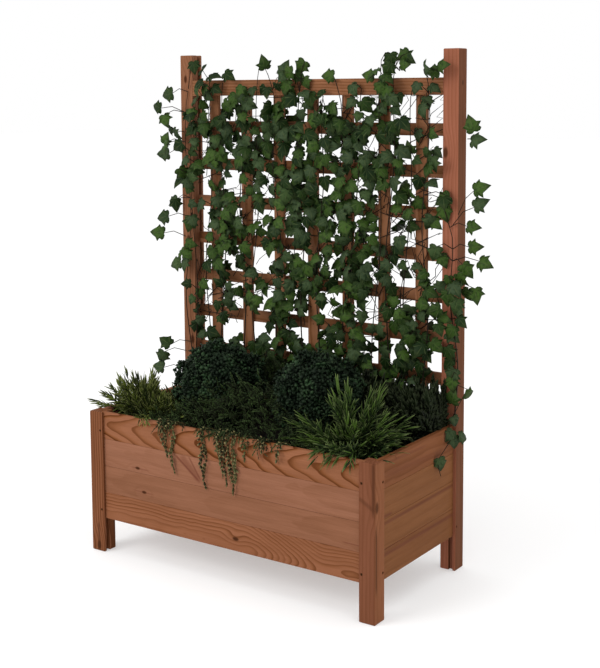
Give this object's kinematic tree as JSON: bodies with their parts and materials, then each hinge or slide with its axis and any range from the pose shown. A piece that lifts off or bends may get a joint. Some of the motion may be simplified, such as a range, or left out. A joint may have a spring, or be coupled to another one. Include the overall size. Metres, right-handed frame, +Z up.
{
  "type": "raised planter with trellis",
  "caption": "Raised timber planter box on square legs, its back legs rising as posts that carry a lattice; planted with clipped balls, grasses, a trailing plant and climbing ivy.",
  "frame": {"origin": "on the ground, under the middle of the box", "axes": "+X along the box towards its right end as seen from the front, +Y from the front board to the lattice, +Z up"},
  "size_m": [1.2, 0.5166, 1.5],
  "materials": {
    "leg_timber": "satin",
    "board_timber": "satin",
    "slat_timber": "satin",
    "floor_timber": "satin",
    "screw_steel": "dulled",
    "liner_fleece": "matte",
    "soil": "rough crumb",
    "ball_foliage": "matte",
    "grass_foliage": "matte",
    "dark_foliage": "matte",
    "trailing_foliage": "matte",
    "ivy_foliage": "matte"
  },
  "bodies": {
    "root": {"leg_front_left": "leg_timber", "leg_front_right": "leg_timber", "post_back_left": "leg_timber", "post_back_right": "leg_timber", "top_rail": "leg_timber", "board_front_1": "board_timber", "board_front_2": "board_timber", "board_front_3": "board_timber", "board_front_4": "board_timber", "board_right_1": "board_timber", "board_right_2": "board_timber", "board_right_3": "board_timber", "board_right_4": "board_timber", "board_back_1": "board_timber", "board_back_2": "board_timber", "board_back_3": "board_timber", "board_back_4": "board_timber", "board_left_1": "board_timber", "board_left_2": "board_timber", "board_left_3": "board_timber", "board_left_4": "board_timber", "upright_slat_1": "slat_timber", "upright_slat_2": "slat_timber", "upright_slat_3": "slat_timber", "upright_slat_4": "slat_timber", "upright_slat_5": "slat_timber", "upright_slat_6": "slat_timber", "upright_slat_7": "slat_timber", "cross_slat_1": "slat_timber", "cross_slat_2": "slat_timber", "cross_slat_3": "slat_timber", "cross_slat_4": "slat_timber", "cross_slat_5": "slat_timber", "cross_slat_6": "slat_timber", "cross_slat_7": "slat_timber", "floor_bearer_front": "floor_timber", "floor_bearer_back": "floor_timber", "floor_slat_1": "floor_timber", "floor_slat_2": "floor_timber", "floor_slat_3": "floor_timber", "floor_slat_4": "floor_timber", "floor_slat_5": "floor_timber", "corner_screw_1": "screw_steel", "corner_screw_2": "screw_steel", "corner_screw_3": "screw_steel", "corner_screw_4": "screw_steel", "corner_screw_5": "screw_steel", "corner_screw_6": "screw_steel", "liner": "liner_fleece", "soil": "soil", "ball_left": "ball_foliage", "ball_right": "ball_foliage", "grass_left": "grass_foliage", "grass_right": "grass_foliage", "fern_right": "dark_foliage", "trailing_plant": "trailing_foliage", "ivy_left": "ivy_foliage", "ivy_middle": "ivy_foliage", "ivy_right": "ivy_foliage"}
  },
  "joints": []
}
